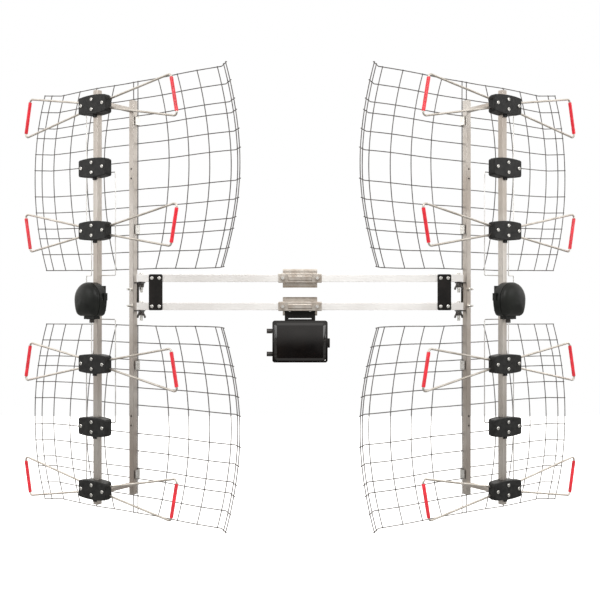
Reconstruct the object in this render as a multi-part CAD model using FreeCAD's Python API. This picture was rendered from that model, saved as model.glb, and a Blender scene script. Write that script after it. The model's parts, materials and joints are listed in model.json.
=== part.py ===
import FreeCAD, Part

import math
import os

from FreeCAD import Vector as V

# An eight-bay bow-tie television antenna: two four-bay panels on a two-bar cross-arm that clamps to a mast.
# Millimetres. Origin on the mast's axis, midway between the two bars. +X right as seen from the front,
# front is -Y, +Z up. A panel is drawn in its own frame and then turned outward about its hinge axis:
# there x runs inward from the rear tube, y runs back from the rear tube, z runs up from mid-height.

# ---- cross-arm
BAR = 15.0                 # square section of each bar
BAR_WALL = 1.5
BAR_Z = 28.0               # height of each bar's centre above and below the origin
BAR_Y = -42.0              # the bars lie in front of the mast
HINGE_X = 316.0            # hinge axes, left and right of the mast
BAR_OVERHANG = 8.0         # bar beyond the hinge axis
TIE_X, TIE_WIDTH, TIE_HEIGHT, TIE_PLATE = 286.0, 27.0, 71.5, 2.0
TIE_SCREW_DX = 14.5        # spacing of a tie plate's screws along the bar

# ---- hinge of a panel on the bars
PANEL_TURN = 34.0          # outward turn of each panel at rest, degrees
PANEL_Z = -10.0            # mid-height of the panels
REAR_TO_HINGE = 22.0       # from the rear tube's centre to the hinge axis
HINGE_BOLT_R = 3.0
RUNNING = 0.05             # radial clearance of what turns or slides on a round bolt
GAP = 0.3                  # clearance between faces of two bodies
BRACKET = 2.0              # plate thickness of the hinge bracket
EAR_R = 8.0
EAR_FRONT = -3.5           # the ears' straight front edge, beside the tube
BRACKET_BOLT_Z = (16.0, -17.0)
BRACKET_BOLT_TIP = 11.0    # bolt standing out of the tube's front face
WING_NUT_TOP = BAR_Z - BAR / 2 - GAP - BRACKET - GAP

# ---- panel tubes and the arms between them
TUBE = 12.0                # square section of both tubes
TUBE_WALL = 1.2
REAR_HALF, FRONT_HALF = 394.0, 396.0
FRONT_D = 96.0             # from the rear tube's centre to the front tube's
ARM_Z, ARM_HEIGHT, ARM_WIDTH = 374.0, 7.5, 11.0

# ---- reflector screens
WIRE_R = 1.0
ROW_GAPS = (34.5, 34.5, 21, 35, 35, 57, 35, 35, 21, 34.5, 34.5)     # from the outer edge inward
SCREEN_TOP = 433.5
COLUMN_PITCH = 50.8
CENTRE_PAIR = 6.0          # half spacing of the two straight wires behind the tube
BOW = 33.5                 # how far the outer columns bulge at a screen's middle
FLARE = 3.0                # a screen's outer edge is this much wider each side than its inner edge is narrow
KINK = 218.5               # where a screen's rows bend forward, before the bulge is added
FLANGE_ANGLE = 37.0
FLANGE_COLUMNS = (20.0, 35.0)
KINK_R = 5.0
WELD = 0.45               # how deep crossing wires sink into each other
COLUMN_Y = TUBE / 2 + WIRE_R + 0.05
ROW_Y = COLUMN_Y + 2 * WIRE_R - WELD
CLIP_Z = (354.0, 136.0)
CLIP_HEIGHT, CLIP_PLATE = 18.0, 1.2

# ---- insulator blocks, whiskers and sleeves
BLOCK_Z = (367.0, 247.0, 127.0)
BLOCK_HALF, BLOCK_HALF_HEIGHT, BLOCK_ARCH = 36.5, 15.5, 3.0
BACK_HALF = 31.0           # the rear half of a block is shorter than its cover
BLOCK_BACK, BLOCK_SEAM, BLOCK_FRONT = 90.0, 99.0, 111.5
NOTCH_Z = 8.8
BLOCK_SCREW_X, BLOCK_SCREW_Z = 28.5, 9.4
WHISKER_R, WHISKER_D, WHISKER_BEND = 2.0, 99.0, 6.0
WHISKER_IN = 17.0          # where a whisker's ends stop inside the block
SHORT_CORNER, LONG_CORNER = (190.0, 35.0), (206.0, 43.0)
SLEEVE_R, SLEEVE_SHORT, SLEEVE_LONG = 3.5, 6.2, 9.4     # a sleeve stops this far from each corner
LINE_R, LINE_X, LINE_D = 1.0, 39.5, 87.6
LINE_LEAD_X, LINE_CROSS_Z, LINE_IN_Z = 25.5, 42.0, 14.0
LINE_END = 95.0            # how deep the feed wires reach into the blocks

# ---- balun housing on the front tube
BALUN_HALF, BALUN_TOP, BALUN_BOTTOM = 32.5, 28.5, -35.5
BALUN_SIDE_R, BALUN_CORNER_R = 70.0, 11.0
BALUN_BACK, BALUN_SEAM, BALUN_NOSE = 103.0, 119.0, 135.0
SADDLE_HALF, SADDLE_TOP, SADDLE_BACK = 12.0, 22.0, 84.0      # the part of the housing that grips the tube
BALUN_WALL = 2.0
PORT_R, PORT_LENGTH, PORT_D = 4.76, 7.0, 110.5     # coaxial connector thread
PORT_ROOT_R = 4.0          # the plain root that passes through a wall

# ---- mast clamps
LEG_X, LEG_R = 34.0, 3.0
U_CENTRE = 6.0             # the U-bolt's half circle is centred this far behind the mast's axis
LEG_END = -63.0
CHANNEL_HALF, CHANNEL_PLATE, CHANNEL_LIP = 43.0, 1.6, 7.0
JAW_HALF, JAW_HEIGHT, JAW_PLATE = 34.5, 37.0, 3.5
JAW_BEVEL = 3.0            # the jaw's long front edges slope back by this much
JAW_TIP_Y = -8.0
JAW_TEETH = 5

# ---- combiner under the lower bar
BOX_HALF, BOX_TOP, BOX_BOTTOM = 54.5, -56.0, -138.4
BOX_BACK, BOX_SEAM, BOX_FRONT = -36.4, -58.0, -69.0
BOX_WALL = 2.0
INPUT_Z = (-77.0, -122.5)
INPUT_Y = -47.0
INPUT_LENGTH = 11.5
OUTPUT_X, OUTPUT_Z = 36.0, -122.5
RIVET_X, RIVET_Z = 49.2, -133.8     # the bright rivet in the cover's corner
BAR_SCREW_Y = -39.3        # the screws up into the lower bar stand behind the clamp channel's lip

os.makedirs("parts", exist_ok=True)
X, Y, Z, O = V(1, 0, 0), V(0, 1, 0), V(0, 0, 1), V(0, 0, 0)


# ---------------------------------------------------------------- helpers
def box(x0, x1, y0, y1, z0, z1):
    """A block between two corners."""
    return Part.makeBox(x1 - x0, y1 - y0, z1 - z0, V(x0, y0, z0))


def rod(radius, start, end):
    """A round bar from one point to another."""
    along = end - start
    return Part.makeCylinder(radius, along.Length, start, along)


def rounded(solid, radius, wanted):
    """The solid with every edge that wanted() picks rounded."""
    return solid.makeFillet(radius, [e for e in solid.Edges if wanted(e)])


def runs_along(axis):
    """Picks straight edges that run along an axis."""
    def test(edge):
        if edge.Curve.TypeId != "Part::GeomLine":
            return False
        return abs(edge.Curve.Direction.dot(axis)) > 0.999
    return test


def square_tube(size, wall, low, high, axis):
    """A hollow square tube along an axis, centred on it."""
    outer = rounded(box(-size / 2, size / 2, -size / 2, size / 2, low, high), 1.2, runs_along(Z))
    inside = size / 2 - wall
    tube = outer.cut(box(-inside, inside, -inside, inside, low - 1, high + 1))
    if axis == X:
        tube.rotate(O, Y, 90)
    return tube


def hexagon(across, low, high, centre, axis):
    """A hexagonal prism on an axis through centre, from low to high along it."""
    radius = across / math.sqrt(3)
    points = [V(radius * math.cos(math.radians(60 * i)), radius * math.sin(math.radians(60 * i)), low)
              for i in range(7)]
    prism = Part.Face(Part.makePolygon(points)).extrude(V(0, 0, high - low))
    return on_axis(prism, centre, axis)


def on_axis(solid, centre, axis):
    """Moves a solid drawn on the z axis to stand on another axis."""
    solid.Placement = FreeCAD.Placement(centre, FreeCAD.Rotation(Z, axis))
    return solid


def pan_screw(centre, axis, head_r, head_h, shank_r, shank):
    """A cross-recess pan head screw; centre is under the head and axis points out of the head."""
    head = Part.makeCylinder(head_r, head_h)
    head = head.makeFillet(head_h * 0.6, [e for e in head.Edges if e.BoundBox.ZMin > head_h * 0.9])
    slot = head_r * 0.55
    for turn in (0, 90):
        arm = box(-slot, slot, -head_r * 0.13, head_r * 0.13, head_h * 0.5, head_h + 1)
        arm.rotate(O, Z, turn)
        head = head.cut(arm)
    screw = head.fuse(Part.makeCylinder(shank_r, shank, V(0, 0, -shank)))
    return on_axis(screw.removeSplitter(), centre, axis)


def bent_path(points, radius):
    """A wire of straight runs whose corners are tangent arcs."""
    edges, start = [], points[0]
    for before, corner, after in zip(points, points[1:], points[2:]):
        towards_before, towards_after = (before - corner).normalize(), (after - corner).normalize()
        half = towards_before.getAngle(towards_after) / 2
        back = radius / math.tan(half)
        arc_in, arc_out = corner + towards_before * back, corner + towards_after * back
        middle = (towards_before + towards_after).normalize()
        arc_mid = corner + middle * (radius / math.sin(half) - radius)
        edges += [Part.LineSegment(start, arc_in).toShape(), Part.Arc(arc_in, arc_mid, arc_out).toShape()]
        start = arc_out
    edges.append(Part.LineSegment(start, points[-1]).toShape())
    return Part.Wire(edges)


def round_wire(path, radius):
    """A round wire swept along a path, mitred where the path has a plain corner."""
    first = path.Edges[0]
    start = first.valueAt(first.FirstParameter)
    tangent = first.tangentAt(first.FirstParameter)
    section = Part.Wire(Part.makeCircle(radius, start, tangent))
    return path.makePipeShell([section], True, False, 1)


def half_turn(solid):
    """The same thing upside down: mirrored in the panel's mid-height plane."""
    return solid.mirror(O, Z)


def both_halves(solids):
    """Pieces of the upper half with their mirror images in the lower half."""
    return list(solids) + [half_turn(s) for s in solids]


def save(name, solids):
    """Writes one node. A node may hold several separate solids."""
    Part.makeCompound(solids).exportStep("parts/%s.step" % name)


def save_on_panels(name, solids):
    """Writes a panel's node twice, turned outward on the left hinge and mirrored on the right."""
    turned = Part.makeCompound(solids)
    turned.translate(V(-REAR_TO_HINGE, 0, 0))
    turned.rotate(O, Z, -PANEL_TURN)
    turned.translate(V(-HINGE_X, BAR_Y, PANEL_Z))
    save("left_" + name, turned.Solids)
    save("right_" + name, turned.mirror(O, X).Solids)


# ---------------------------------------------------------------- cross-arm
def arm_bar(z):
    """A bar, drilled for its hinge bolts, tie plate screws, U-bolt legs and bracket screws."""
    end = HINGE_X + BAR_OVERHANG
    bar = square_tube(BAR, BAR_WALL, -end, end, X)
    drills = []
    for side in (-1, 1):
        drills.append(Part.makeCylinder(HINGE_BOLT_R, 2 * BAR, V(side * HINGE_X, 0, -BAR)))
        drills.append(Part.makeCylinder(LEG_R + GAP, 2 * BAR, V(side * LEG_X, -BAR, 0), Y))
        for dx in (-TIE_SCREW_DX / 2, TIE_SCREW_DX / 2):
            drills.append(Part.makeCylinder(1.8, BAR, V(side * TIE_X + dx, -BAR, 0), Y))
        drills.append(Part.makeCylinder(1.5, BAR, V(side * 20, BAR_SCREW_Y - BAR_Y, -BAR)))
    bar = bar.cut(Part.makeCompound(drills))
    bar.translate(V(0, BAR_Y, z))
    return bar


def tie_screw_places(side):
    """Where a tie plate's four screws pass through it."""
    for dx in (-TIE_SCREW_DX / 2, TIE_SCREW_DX / 2):
        for z in (-BAR_Z, BAR_Z):
            yield V(side * TIE_X + dx, BAR_Y - BAR / 2 - TIE_PLATE, z)


def tie_plate(side):
    """The plate that ties the two bars together near a hinge."""
    front = BAR_Y - BAR / 2 - TIE_PLATE
    plate = box(side * TIE_X - TIE_WIDTH / 2, side * TIE_X + TIE_WIDTH / 2,
                front, front + TIE_PLATE, -TIE_HEIGHT / 2, TIE_HEIGHT / 2)
    plate = rounded(plate, 3.0, runs_along(Y))
    for place in tie_screw_places(side):
        plate = plate.cut(Part.makeCylinder(1.8, TIE_PLATE, place, Y))
    return plate


def hinge_bolt(side, z):
    """A carriage bolt: a mushroom head on top of the bar, its shank down through bar and bracket."""
    head = Part.makeCylinder(5.0, 3.2)
    head = head.makeFillet(2.4, [e for e in head.Edges if e.BoundBox.ZMin > 3.0])
    shank_end = -(BAR + 21.0)
    bolt = head.fuse(Part.makeCylinder(HINGE_BOLT_R, -shank_end, V(0, 0, shank_end)))
    bolt = bolt.removeSplitter()
    bolt.translate(V(side * HINGE_X, BAR_Y, z + BAR / 2))
    return bolt


def wing_nut(side, z, turn):
    """A wing nut under the hinge bracket: a tapered hub with two wings that splay downward."""
    hub = Part.makeCone(5.0, 6.2, 8.0, V(0, 0, -8.0))
    outline = [V(3.2, 0, -1.0), V(6.0, 0, -3.0), V(9.4, 0, -9.5), V(9.2, 0, -13.0), V(6.6, 0, -13.2),
               V(5.2, 0, -9.5), V(3.2, 0, -7.0)]
    blade = Part.Face(Part.makePolygon(outline + outline[:1])).extrude(V(0, 2.6, 0))
    blade.translate(V(0, -1.3, 0))
    blade = rounded(blade, 0.9, runs_along(Y))
    other = blade.copy()
    other.rotate(O, Z, 180)
    nut = hub.multiFuse([blade, other]).removeSplitter()
    nut = nut.cut(Part.makeCylinder(HINGE_BOLT_R + RUNNING, 40, V(0, 0, -20)))
    nut.rotate(O, Z, turn)
    nut.translate(V(side * HINGE_X, BAR_Y, z))
    return nut


# ---------------------------------------------------------------- mast clamps
def u_bolt(z):
    """A U-bolt round the mast, its two threaded legs reaching through jaw, bar and channel."""
    path = Part.Wire([
        Part.LineSegment(V(-LEG_X, LEG_END, z), V(-LEG_X, U_CENTRE, z)).toShape(),
        Part.Arc(V(-LEG_X, U_CENTRE, z), V(0, U_CENTRE + LEG_X, z), V(LEG_X, U_CENTRE, z)).toShape(),
        Part.LineSegment(V(LEG_X, U_CENTRE, z), V(LEG_X, LEG_END, z)).toShape()])
    return round_wire(path, LEG_R)


def clamp_channel(z):
    """A short channel over the bar's front, with a pressed-out centre and a hole for each leg."""
    front, inside = BAR_Y - BAR / 2, BAR / 2 + 0.1
    outside = inside + CHANNEL_PLATE
    channel = box(-CHANNEL_HALF, CHANNEL_HALF, front - CHANNEL_PLATE, front + CHANNEL_LIP, -outside, outside)
    channel = rounded(channel, 1.2, lambda e: runs_along(X)(e) and e.BoundBox.YMax < front)
    channel = channel.cut(box(-CHANNEL_HALF, CHANNEL_HALF, front, front + CHANNEL_LIP, -inside, inside))
    pressing = box(-24, 24, front - CHANNEL_PLATE - 1.8, front - 0.6, -5.0, 5.0)
    pressing = rounded(pressing, 1.5, lambda e: e.BoundBox.YMax < front - CHANNEL_PLATE - 1)
    channel = channel.fuse(pressing)
    for side in (-1, 1):
        channel = channel.cut(Part.makeCylinder(LEG_R + GAP, 12, V(side * LEG_X, front - 6, 0), Y))
    channel.translate(V(0, 0, z))
    return channel


def v_jaw(z):
    """The serrated V-shaped jaw that bites the mast from the front."""
    back = BAR_Y + BAR / 2
    valley = back + JAW_PLATE
    points = [V(-JAW_HALF, back, 0), V(JAW_HALF, back, 0), V(JAW_HALF, JAW_TIP_Y, 0)]
    step_x, step_y = JAW_HALF / JAW_TEETH, (JAW_TIP_Y - valley) / JAW_TEETH
    for i in range(JAW_TEETH):
        top = JAW_TIP_Y - step_y * i
        points.append(V(JAW_HALF - step_x * (i + 0.75), top, 0))
        points.append(V(JAW_HALF - step_x * (i + 1), top - step_y, 0))
    mirrored = [V(-p.x, p.y, 0) for p in reversed(points[2:-1])]
    jaw = Part.Face(Part.makePolygon(points + mirrored + points[:1])).extrude(V(0, 0, JAW_HEIGHT))
    jaw.translate(V(0, 0, -JAW_HEIGHT / 2))
    hollow = box(-JAW_HALF + 3, JAW_HALF - 3, back - 1, JAW_TIP_Y, -8.0, 8.0)
    shelf = box(-8, 8, back - 1, JAW_TIP_Y, -JAW_HEIGHT / 2, JAW_HEIGHT / 2)
    web = box(-JAW_HALF, JAW_HALF, back, back + 1.6, -JAW_HEIGHT / 2, JAW_HEIGHT / 2)
    jaw = jaw.cut(hollow.cut(shelf)).fuse(web)
    for sign in (-1, 1):
        edge = sign * JAW_HEIGHT / 2
        corners = [V(-JAW_HALF, back, edge - sign * JAW_BEVEL), V(-JAW_HALF, back, edge),
                   V(-JAW_HALF, back + JAW_BEVEL, edge)]
        bevel = Part.Face(Part.makePolygon(corners + corners[:1])).extrude(V(2 * JAW_HALF, 0, 0))
        jaw = jaw.cut(bevel)
    for side in (-1, 1):
        jaw = jaw.cut(Part.makeCylinder(LEG_R + GAP, 80, V(side * LEG_X, back - 1, 0), Y))
    jaw.translate(V(0, 0, z))
    return jaw


def leg_nuts():
    """Hexagon nuts with washers on the front ends of the U-bolt legs."""
    nuts = []
    seat = BAR_Y - BAR / 2 - CHANNEL_PLATE
    for z in (-BAR_Z, BAR_Z):
        for side in (-1, 1):
            place = V(side * LEG_X, seat, z)
            nut = hexagon(9.0, 1.0, 5.6, place, V(0, -1, 0))
            nut = nut.fuse(Part.makeCylinder(5.6, 1.0, place, V(0, -1, 0)))
            nuts.append(nut.cut(Part.makeCylinder(LEG_R + RUNNING, 20, V(place.x, seat - 15, z), Y)))
    return nuts


# ---------------------------------------------------------------- combiner
def combiner_bracket():
    """An angle from the lower bar's underside down to the combiner's back."""
    under = -BAR_Z - BAR / 2
    flange = box(-30.5, 30.5, BAR_SCREW_Y - 3.0, BOX_BACK + 1.6, under - 1.6, under)
    leg = box(-30.5, 30.5, BOX_BACK, BOX_BACK + 1.6, -84, under)
    bracket = flange.fuse(leg).removeSplitter()
    slit = box(-23, 23, BOX_BACK - 1, BOX_BACK + 3, -53.6, -51.8)
    holes = [Part.makeCylinder(1.8, 6, V(x, BOX_BACK - 1, -70), Y) for x in (-20, 20)]
    holes += [Part.makeCylinder(1.8, 6, V(x, BAR_SCREW_Y, under - 3), Z) for x in (-20, 20)]
    return bracket.cut(Part.makeCompound([slit] + holes))


def box_outline(inset, y0, y1, corner):
    """A rounded slab of the combiner's outline, shrunk by inset."""
    slab = box(-BOX_HALF + inset, BOX_HALF - inset, y0, y1, BOX_BOTTOM + inset, BOX_TOP - inset)
    return rounded(slab, corner, runs_along(Y))


def combiner_screw_places():
    """The four cover screws, seen from behind."""
    for x in (-BOX_HALF + 10, BOX_HALF - 10):
        for z in (BOX_BOTTOM + 10, BOX_TOP - 10):
            yield x, z


def combiner_base():
    """The combiner's back tray, with its connector holes and cover posts."""
    tray = box_outline(0, BOX_SEAM, BOX_BACK, 5.0)
    cavity = box_outline(BOX_WALL, BOX_SEAM - 1, BOX_BACK - BOX_WALL, 3.5)
    tray = tray.cut(cavity)
    for x, z in combiner_screw_places():
        tray = tray.fuse(rod(4.0, V(x, BOX_SEAM, z), V(x, BOX_BACK - BOX_WALL / 2, z)))
    for x in (-20, 20):
        tray = tray.fuse(rod(4.0, V(x, BOX_BACK - 8, -70), V(x, BOX_BACK - BOX_WALL / 2, -70)))
        tray = tray.cut(rod(1.5, V(x, BOX_BACK - 7, -70), V(x, BOX_BACK + 1, -70)))
    for x, z in combiner_screw_places():
        tray = tray.cut(rod(1.4, V(x, BOX_SEAM - 1, z), V(x, BOX_BACK + 1, z)))
    for z in INPUT_Z:
        tray = tray.cut(rod(PORT_ROOT_R, V(-BOX_HALF - 1, INPUT_Y, z), V(-BOX_HALF + 6, INPUT_Y, z)))
    output = V(OUTPUT_X, BOX_BACK + 1, OUTPUT_Z)
    tray = tray.cut(rod(PORT_ROOT_R, output - V(0, 7, 0), output))
    latch = box(BOX_HALF - 1, BOX_HALF + 4.6, BOX_SEAM, BOX_SEAM + 12, -109.5, -91.0)
    latch = rounded(latch, 1.5, lambda e: e.BoundBox.XMin > BOX_HALF + 4)
    return tray.fuse(latch).removeSplitter()


def combiner_cover():
    """The cover: a rim, a bevelled raised middle and a shallow line near its lower edge."""
    rim = box_outline(0, BOX_SEAM - 4.5, BOX_SEAM - 0.8, 5.0)
    raised = box_outline(4.0, BOX_FRONT, BOX_SEAM - 4.5, 7.0)
    raised = raised.makeChamfer(5.0, [e for e in raised.Edges if e.BoundBox.YMax < BOX_FRONT + 0.01])
    cover = rim.fuse(raised)
    cover = cover.cut(box_outline(6.2, BOX_FRONT + 5.5, BOX_SEAM, 2.0))
    line = box(-BOX_HALF + 10, BOX_HALF - 10, BOX_FRONT - 1, BOX_FRONT + 0.5, -117.0, -116.2)
    cover = cover.cut(line)
    for x, z in combiner_screw_places():
        cover = cover.fuse(rod(3.4, V(x, BOX_FRONT + 5.5, z), V(x, BOX_SEAM - 0.8, z)))
        cover = cover.cut(rod(1.4, V(x, BOX_SEAM - 5.3, z), V(x, BOX_SEAM, z)))
    cover = cover.cut(rod(0.8, V(RIVET_X, BOX_SEAM - 5, RIVET_Z), V(RIVET_X, BOX_SEAM, RIVET_Z)))
    return cover.removeSplitter()


def combiner_gasket():
    """The flat ring seal between tray and cover."""
    ring = box_outline(0.6, BOX_SEAM - 0.8, BOX_SEAM, 4.5)
    return ring.cut(box_outline(2.6, BOX_SEAM - 1, BOX_SEAM + 1, 3.0))


def combiner_board():
    """The circuit board with its two winding cores and screening can."""
    y = BOX_BACK - 12
    board = box(-38, 38, y - 1.6, y, -134, -83)
    can = box(-12, 30, y - 7.6, y - 1.6, -122, -95)
    board = board.fuse(can)
    for z in (-92, -125):
        ring = Part.makeTorus(4.0, 1.6, V(-26, y - 3.0, z), Y)
        board = board.fuse(ring)
    return board.removeSplitter()


def coax_port(place, axis, length):
    """A threaded coaxial connector standing on a wall; its centre hole takes the cable's core."""
    port = Part.makeCylinder(PORT_R, length - 1.0, V(0, 0, 1.0))
    port = port.fuse(Part.makeCylinder(PORT_ROOT_R, 5.0, V(0, 0, -4.0)))
    port = port.cut(Part.makeCylinder(3.0, length, V(0, 0, 1.0)))
    insulator = Part.makeCylinder(3.0, length - 3.0, V(0, 0, 1.0))
    insulator = insulator.cut(Part.makeCylinder(0.6, length, V(0, 0, 3.0)))
    port = port.fuse(insulator).removeSplitter()
    return on_axis(port, place, axis)


def combiner_ports():
    """Two inputs on the left side and one output on the back."""
    ports = [coax_port(V(-BOX_HALF, INPUT_Y, z), V(-1, 0, 0), INPUT_LENGTH) for z in INPUT_Z]
    ports.append(coax_port(V(OUTPUT_X, BOX_BACK, OUTPUT_Z), Y, INPUT_LENGTH))
    return ports


def combiner_fasteners():
    """Cover screws from behind, the bracket's screws into box and bar, and the corner rivet."""
    screws = [pan_screw(V(x, BOX_BACK, z), Y, 2.6, 1.8, 1.4, 26.0) for x, z in combiner_screw_places()]
    under = -BAR_Z - BAR / 2 - 1.6
    for x in (-20, 20):
        screws.append(pan_screw(V(x, BOX_BACK + 1.6, -70), Y, 3.2, 2.2, 1.5, 7.0))
        screws.append(pan_screw(V(x, BAR_SCREW_Y, under), V(0, 0, -1), 2.7, 2.0, 1.5, 6.0))
    screws.append(pan_screw(V(RIVET_X, BOX_SEAM - 4.5, RIVET_Z), V(0, -1, 0), 1.5, 0.9, 0.8, 3.0))
    return screws


# ---------------------------------------------------------------- panel frame
def rear_tube():
    """The panel's rear tube, with bracket bolt holes and spare hole pairs in its front face."""
    tube = square_tube(TUBE, TUBE_WALL, -REAR_HALF, REAR_HALF, Z)
    for z in BRACKET_BOLT_Z + (-ARM_Z, ARM_Z):
        tube = tube.cut(Part.makeCylinder(2.0, 2 * TUBE, V(0, -TUBE, z), Y))
    for middle in (-247.0, 247.0):
        for z in (middle - 9.5, middle + 9.5):
            tube = tube.cut(Part.makeCylinder(2.0, TUBE, V(0, -TUBE, z), Y))
    for z in CLIP_Z:
        for side in (-1, 1):
            tube = tube.cut(Part.makeCylinder(1.5, TUBE, V(0, 0, side * z), Y))
    return tube


def front_tube():
    """The panel's front tube, which carries the insulator blocks and the balun."""
    tube = square_tube(TUBE, TUBE_WALL, -FRONT_HALF, FRONT_HALF, Z)
    for side in (-1, 1):
        tube = tube.cut(Part.makeCylinder(2.0, TUBE, V(0, 0, side * ARM_Z), Y))
        for z in BLOCK_Z:
            for dz in (-BLOCK_SCREW_Z, BLOCK_SCREW_Z):
                tube = tube.cut(Part.makeCylinder(1.5, TUBE, V(0, -TUBE, side * z + dz), Y))
    tube.translate(V(0, -FRONT_D, 0))
    return tube


def standoff_arm():
    """The arm between the two tubes near their upper ends."""
    arm = box(-ARM_WIDTH / 2, ARM_WIDTH / 2, -FRONT_D + TUBE / 2, -TUBE / 2,
              ARM_Z - ARM_HEIGHT / 2, ARM_Z + ARM_HEIGHT / 2)
    return rounded(arm, 0.8, runs_along(Y))


def standoff_screws():
    """Screws from behind the rear tube into an arm, and from the arm's front end into the front tube."""
    rear = pan_screw(V(0, TUBE / 2, ARM_Z), Y, 4.0, 2.6, 2.0, TUBE)
    front = rod(2.0, V(0, -FRONT_D + TUBE / 2, ARM_Z), V(0, -FRONT_D + TUBE / 2 - 5, ARM_Z))
    return [rear, front]


def bracket_heights():
    """Top faces of the bracket's two ears: each lies just under a bar."""
    return [z - BAR / 2 - GAP - PANEL_Z for z in (-BAR_Z, BAR_Z)]


def hinge_bracket():
    """A plate on the back of the rear tube, with an ear under each bar reaching in to the hinge."""
    low, high = bracket_heights()
    back, side = TUBE / 2, TUBE / 2 + RUNNING
    bracket = box(-back, side + BRACKET, back, back + BRACKET, low - BRACKET, high)
    for top in (low, high):
        ear = box(side, REAR_TO_HINGE, EAR_FRONT, back + BRACKET, top - BRACKET, top)
        ear = ear.fuse(Part.makeCylinder(EAR_R, BRACKET, V(REAR_TO_HINGE, 0, top - BRACKET)))
        ear = ear.cut(Part.makeCylinder(HINGE_BOLT_R + RUNNING, 10, V(REAR_TO_HINGE, 0, top - 5)))
        bracket = bracket.fuse(ear)
    for z in BRACKET_BOLT_Z:
        bracket = bracket.cut(Part.makeCylinder(2.0, 10, V(0, back - 2, z), Y))
    return bracket.removeSplitter()


def bracket_bolts():
    """Low-headed bolts through bracket and rear tube, their nuts and long tips in front."""
    bolts = []
    for z in BRACKET_BOLT_Z:
        face, seat = V(0, -TUBE / 2, z), V(0, TUBE / 2 + BRACKET, z)
        shank = rod(2.0, face - V(0, BRACKET_BOLT_TIP, 0), seat)
        head = rod(3.5, seat, seat + V(0, 1.8, 0))
        nut = hexagon(7.0, 0, 3.2, face, -Y)
        bolts.append(shank.multiFuse([head, nut]).removeSplitter())
    return bolts


# ---------------------------------------------------------------- reflector screens
SCREEN_LOW = SCREEN_TOP - sum(ROW_GAPS)


def bulge(z):
    """How far a bowed column stands out from its unbowed place at a height: part of a large circle."""
    low, high = V(-FLARE, 0, SCREEN_LOW), V(FLARE, 0, SCREEN_TOP)
    circle = Part.Arc(low, V(BOW, 0, (SCREEN_LOW + SCREEN_TOP) / 2), high).toShape().Curve
    return circle.Center.x + math.sqrt(circle.Radius ** 2 - (z - circle.Center.z) ** 2)


def row_heights():
    """Heights of a screen's twelve rows, from its outer edge inward."""
    heights = [SCREEN_TOP]
    for step in ROW_GAPS:
        heights.append(heights[-1] - step)
    return heights


def screen_row(z):
    """One horizontal wire, its two ends bent forward."""
    turn = math.radians(FLANGE_ANGLE)
    length = FLANGE_COLUMNS[-1] + 2.0
    kink = KINK + bulge(z)
    tip = V(kink + length * math.cos(turn), ROW_Y - length * math.sin(turn), z)
    right = [V(kink, ROW_Y, z), tip]
    left = [V(-p.x, p.y, z) for p in reversed(right)]
    return round_wire(bent_path(left + right, KINK_R), WIRE_R)


def screen_columns():
    """The straight centre pair, and the bowed columns, each a chain of runs that turn between rows."""
    columns = []
    for x in (-CENTRE_PAIR, CENTRE_PAIR):
        low, high = V(x, COLUMN_Y, SCREEN_LOW - WIRE_R), V(x, COLUMN_Y, SCREEN_TOP + WIRE_R)
        columns.append(rod(WIRE_R, low, high))
    turn = math.radians(FLANGE_ANGLE)
    lift = 2 * WIRE_R - WELD
    places = [(CENTRE_PAIR + COLUMN_PITCH * i, COLUMN_Y) for i in range(1, 5)]
    for along in FLANGE_COLUMNS:
        places.append((KINK + along * math.cos(turn) - lift * math.sin(turn),
                       ROW_Y - along * math.sin(turn) - lift * math.cos(turn)))
    rows = row_heights()
    stations = rows[:1] + [(a + b) / 2 for a, b in zip(rows, rows[1:])] + rows[-1:]
    for width, y in places:
        for side in (-1, 1):
            line = [V(side * (width + bulge(z)), y, z) for z in stations]
            columns.append(round_wire(Part.makePolygon(line), WIRE_R))
    return columns


def upper_screen():
    """The welded wire screen of the upper half, one solid."""
    wires = screen_columns() + [screen_row(z) for z in row_heights()]
    return wires[0].multiFuse(wires[1:])


def screen_clips():
    """U-shaped straps that hold a screen's centre pair against the rear tube."""
    clips = []
    side_x, back = TUBE / 2 + 1.4, ROW_Y + WIRE_R + 0.1
    for z in CLIP_Z:
        half = CLIP_HEIGHT / 2
        strap = box(-side_x - CLIP_PLATE, side_x + CLIP_PLATE, -2, back + CLIP_PLATE, z - half, z + half)
        strap = rounded(strap, 1.5, lambda e: runs_along(Z)(e) and e.BoundBox.YMin > back)
        strap = strap.cut(box(-side_x, side_x, -3, back, z - half - 1, z + half + 1))
        clips.append(strap.cut(Part.makeCylinder(1.5, 10, V(0, back - 2, z), Y)))
    return clips


def clip_screws():
    """One screw through the middle of each strap into the rear tube."""
    seat = ROW_Y + WIRE_R + 0.1 + CLIP_PLATE
    return [pan_screw(V(0, seat, z), Y, 3.0, 2.0, 1.5, seat - TUBE / 2 + 3) for z in CLIP_Z]


# ---------------------------------------------------------------- blocks, whiskers, lines
def block_slab(x, d0, d1, z):
    """A block's outline between two depths, x to each side: arched top and bottom, rounded corners."""
    h = BLOCK_HALF_HEIGHT
    edges = []
    for sign in (1, -1):
        start, end = V(-sign * x, 0, sign * h), V(sign * x, 0, sign * h)
        edges.append(Part.Arc(start, V(0, 0, sign * (h + BLOCK_ARCH)), end).toShape())
        edges.append(Part.LineSegment(end, V(sign * x, 0, -sign * h)).toShape())
    slab = Part.Face(Part.Wire(edges)).extrude(V(0, d0 - d1, 0))
    slab = rounded(slab, 4.0, runs_along(Y))
    slab.translate(V(0, -d0, z))
    return slab


def tube_channel(z, clearance):
    """The space the front tube fills inside a block."""
    half = TUBE / 2 + clearance
    return box(-half, half, -FRONT_D - half, -FRONT_D + half, z - 30, z + 30)


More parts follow.
